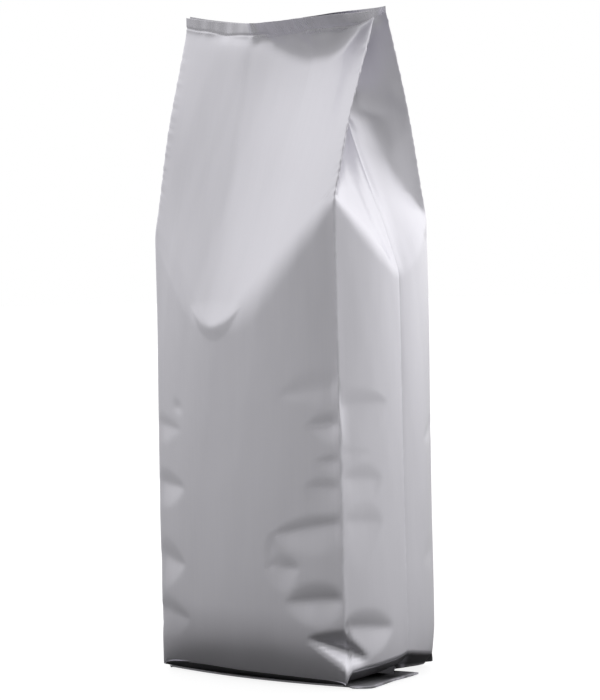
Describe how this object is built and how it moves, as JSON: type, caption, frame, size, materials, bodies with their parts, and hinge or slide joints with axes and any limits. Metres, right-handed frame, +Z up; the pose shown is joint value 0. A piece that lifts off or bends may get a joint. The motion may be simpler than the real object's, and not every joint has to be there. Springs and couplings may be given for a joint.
{
  "type": "side gusset foil bag",
  "caption": "Filled side-gusset foil bag that stands upright: flat sealed top, sloping head with tucked-in sides, square body and folded bottom.",
  "frame": {"origin": "on the floor, under the middle of the bag's box", "axes": "+Z up along the bag, -Y out of the front panel, +X to the right of the front panel"},
  "size_m": [0.136, 0.101, 0.3411],
  "materials": {
    "foil": "matte silver laminated foil"
  },
  "bodies": {
    "root": {"foil_bag": "foil"}
  },
  "joints": []
}
